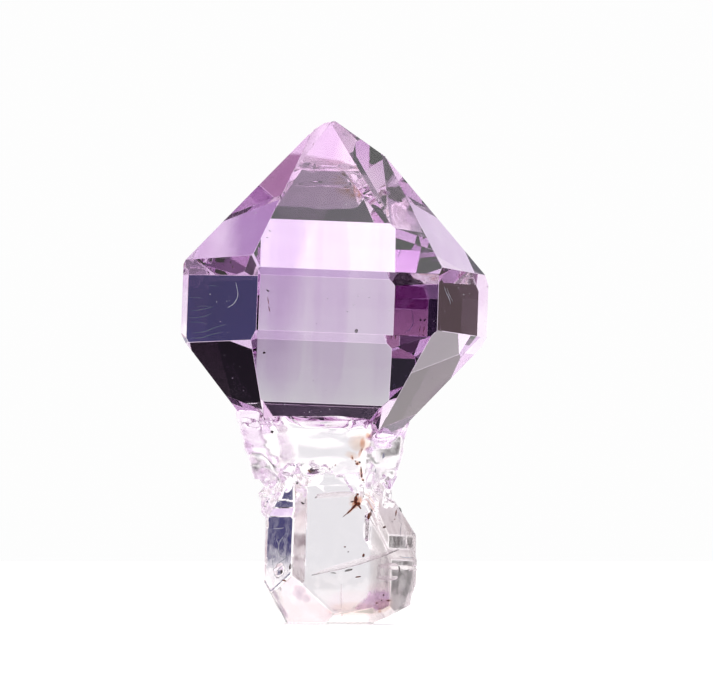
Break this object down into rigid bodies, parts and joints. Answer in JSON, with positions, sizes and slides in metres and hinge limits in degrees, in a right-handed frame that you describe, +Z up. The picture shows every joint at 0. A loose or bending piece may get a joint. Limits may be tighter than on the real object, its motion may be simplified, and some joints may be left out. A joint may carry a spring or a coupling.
{
  "type": "amethyst scepter",
  "caption": "Small natural scepter crystal of quartz: a fat purple six-sided head on a slim clear stem with growth ledges under the head and a flat broken foot.",
  "frame": {"origin": "on the ground, under the middle of the crystal's outline", "axes": "+Z up, along the crystal's length but for a lean of 2 degrees; -Y towards the front; +X to the right as seen from the front"},
  "size_m": [0.0154, 0.0134, 0.0252],
  "materials": {
    "amethyst": "polished by nature, see-through, purple in the head and colourless in the stem"
  },
  "bodies": {
    "root": {"scepter": "amethyst"}
  },
  "joints": []
}
